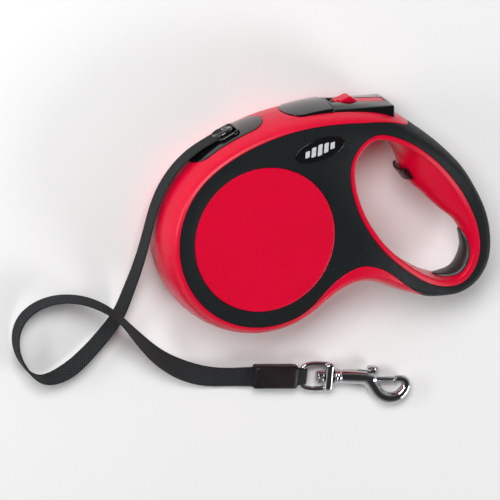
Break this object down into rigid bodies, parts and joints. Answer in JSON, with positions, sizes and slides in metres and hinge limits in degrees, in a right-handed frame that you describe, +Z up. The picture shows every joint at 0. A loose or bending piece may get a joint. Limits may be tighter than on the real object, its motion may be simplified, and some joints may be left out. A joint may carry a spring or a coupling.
{
  "type": "retractable pet leash",
  "caption": "Retractable tape leash lying on its side: round reel case with a looped handle and brake button, a flat tape let out in one loop, and a swivel bolt snap.",
  "frame": {"origin": "on the reel's axis, in the plane of the face that the case lies on", "axes": "+X from the reel to the handle, +Y to the brake button's edge, +Z up through the case's thickness"},
  "size_m": [0.266, 0.1805, 0.0424],
  "materials": {
    "red_shell": "satin",
    "soft_black": "matte",
    "gloss_black": "gloss",
    "webbing": "woven",
    "sleeve_rubber": "satin",
    "band_rubber": "satin",
    "white_plastic": "matte",
    "grey_plastic": "matte",
    "chrome": "polished",
    "steel": "machined",
    "spring_steel": "drawn"
  },
  "bodies": {
    "housing": {"housing_left": "red_shell", "housing_right": "red_shell", "grip_overlay_left": "soft_black", "grip_overlay_right": "soft_black", "badge_left": "gloss_black", "badge_right": "gloss_black", "outlet_nozzle": "gloss_black", "tape_stopper": "gloss_black", "button_cover": "gloss_black", "button_hinge_pin": "steel", "hand_band": "band_rubber", "case_screw_1": "steel", "case_screw_2": "steel", "case_screw_3": "steel", "case_screw_4": "steel", "case_screw_5": "steel", "reel_axle": "steel", "spring_arbor": "steel", "main_spring": "spring_steel", "button_spring": "spring_steel", "tape_lead_in": "webbing", "leash_tape": "webbing", "tape_sleeve": "sleeve_rubber", "tape_fold": "webbing"},
    "reel": {"reel_spool": "white_plastic", "reel_flange": "white_plastic", "ratchet_ring": "white_plastic", "wound_tape": "webbing", "spring_cover": "grey_plastic"},
    "button": {"brake_button": "gloss_black"},
    "lock": {"lock_slider": "red_shell"},
    "pawl": {"brake_pawl": "steel"},
    "adjuster": {"grip_adjuster": "gloss_black"},
    "eye": {"swivel_eye": "chrome"},
    "hook": {"snap_hook": "chrome", "swivel_rivet": "chrome", "bolt_spring": "spring_steel"},
    "bolt": {"snap_bolt": "chrome"}
  },
  "joints": [
    {"name": "reel_spin", "type": "hinge", "parent": "housing", "child": "reel", "pos_m": [0, 0, 0.021], "axis": [0, 0, 1], "continuous": true},
    {"name": "brake_button_press", "type": "hinge", "parent": "housing", "child": "button", "pos_m": [0.024, 0.0593, 0.021], "axis": [0, 0, -1], "range_deg": [0, 4.5], "stiffness_Nm_per_rad": 0.6, "springref_deg": -6.88, "deforming": ["button_spring"]},
    {"name": "pawl_slide", "type": "slide", "parent": "housing", "child": "pawl", "axis": [-0.682, -0.7314, 0], "range_m": [0, 0.0034]},
    {"name": "lock_slide", "type": "slide", "parent": "button", "child": "lock", "axis": [-0.998, 0.0639, 0], "range_m": [0, 0.0033]},
    {"name": "adjuster_slide", "type": "slide", "parent": "housing", "child": "adjuster", "axis": [0.585, -0.811, 0], "range_m": [0, 0.005]},
    {"name": "eye_pivot", "type": "hinge", "parent": "housing", "child": "eye", "pos_m": [0.03484, -0.08953, 0.0042], "axis": [-0.0941, -0.9956, 0], "range_deg": [0, 60]},
    {"name": "snap_swivel", "type": "hinge", "parent": "eye", "child": "hook", "pos_m": [0.043, -0.0903, 0.0042], "axis": [0.9956, -0.0941, 0], "continuous": true},
    {"name": "snap_bolt_slide", "type": "slide", "parent": "hook", "child": "bolt", "axis": [-0.9956, 0.0941, 0], "range_m": [0, 0.006], "stiffness_N_per_m": 80, "springref_m": -0.004, "deforming": ["bolt_spring"]}
  ],
  "couplings": [
    {"joint": "pawl_slide", "follows": "brake_button_press", "m_per_rad": 0.042}
  ]
}
